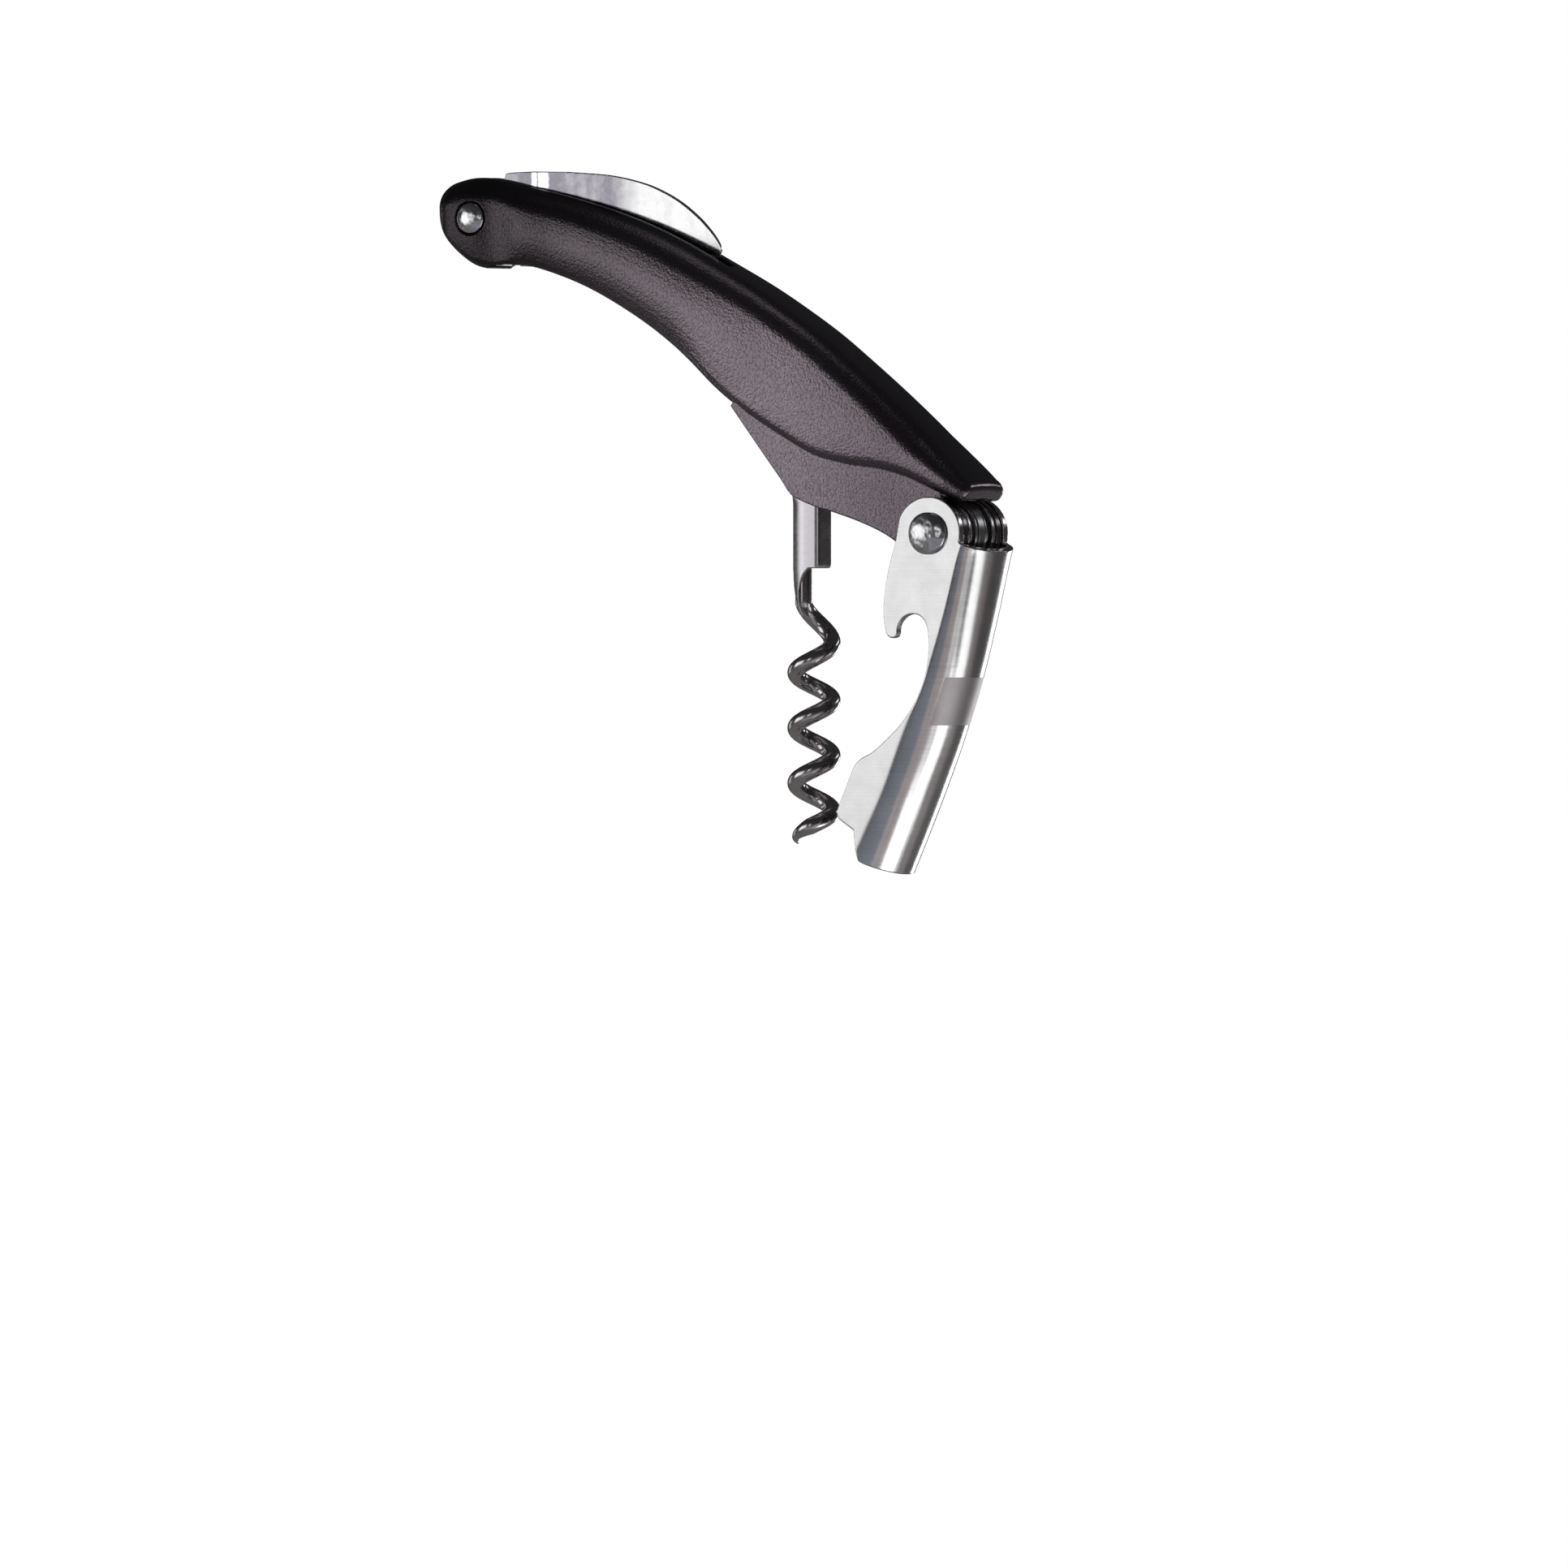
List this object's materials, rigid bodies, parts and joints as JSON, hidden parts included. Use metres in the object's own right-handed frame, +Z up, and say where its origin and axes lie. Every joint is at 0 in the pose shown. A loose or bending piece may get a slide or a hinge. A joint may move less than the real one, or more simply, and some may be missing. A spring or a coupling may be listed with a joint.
{
  "type": "lever corkscrew",
  "caption": "Curved-handle waiter's corkscrew with a folding worm, a stainless channel lever with a bottle-cap hook, and a folding foil knife.",
  "frame": {"origin": "centre of the tool's box in its working pose, on the mid-plane; the lever rivet's axis is at x 44.0 mm, z -1.95 mm", "axes": "+X from the knife end towards the lever end, +Y across the tool along its pivot pins, +Z up with the worm pointing down"},
  "size_m": [0.1066, 0.019, 0.1175],
  "materials": {
    "black_plastic": "fine leather-grain matte moulding",
    "lever_steel": "fine brushed flats, satin rounded back",
    "satin_steel": "satin",
    "spring_steel": "satin, hardened",
    "shank_steel": "fine satin",
    "worm_steel": "polished wire",
    "blade_steel": "mirror polished, hollow ground",
    "polished_steel": "polished domes"
  },
  "bodies": {
    "handle": {"handle_shell": "black_plastic", "liner_near": "satin_steel", "liner_far": "satin_steel", "back_spring": "spring_steel", "spring_spacer_near": "satin_steel", "spring_spacer_far": "satin_steel", "front_pin": "satin_steel", "rear_pin": "satin_steel", "blade_stop_pin": "satin_steel", "lever_rivet": "polished_steel", "knife_rivet": "polished_steel", "knife_washer_near": "satin_steel", "knife_washer_far": "satin_steel", "worm_pin": "satin_steel", "worm_washer_near": "satin_steel", "worm_washer_far": "satin_steel"},
    "lever": {"lever": "lever_steel"},
    "worm": {"worm_shank": "shank_steel", "worm_wire": "worm_steel"},
    "knife": {"knife_blade": "blade_steel"}
  },
  "joints": [
    {"name": "lever_pivot", "type": "hinge", "parent": "handle", "child": "lever", "pos_m": [0.044, 0, -0.00195], "axis": [0, 1, 0], "range_deg": [-10, 96]},
    {"name": "worm_pivot", "type": "hinge", "parent": "handle", "child": "worm", "pos_m": [0.0175, 0, 0.01055], "axis": [0, 1, 0], "range_deg": [-13, 122.1]},
    {"name": "knife_pivot", "type": "hinge", "parent": "handle", "child": "knife", "pos_m": [-0.0459, 0, 0.05105], "axis": [0, -1, 0], "range_deg": [0, 175]}
  ],
  "couplings": [
    {"joint": "worm_pivot", "follows": "lever_pivot", "ratio": 1.2708}
  ]
}
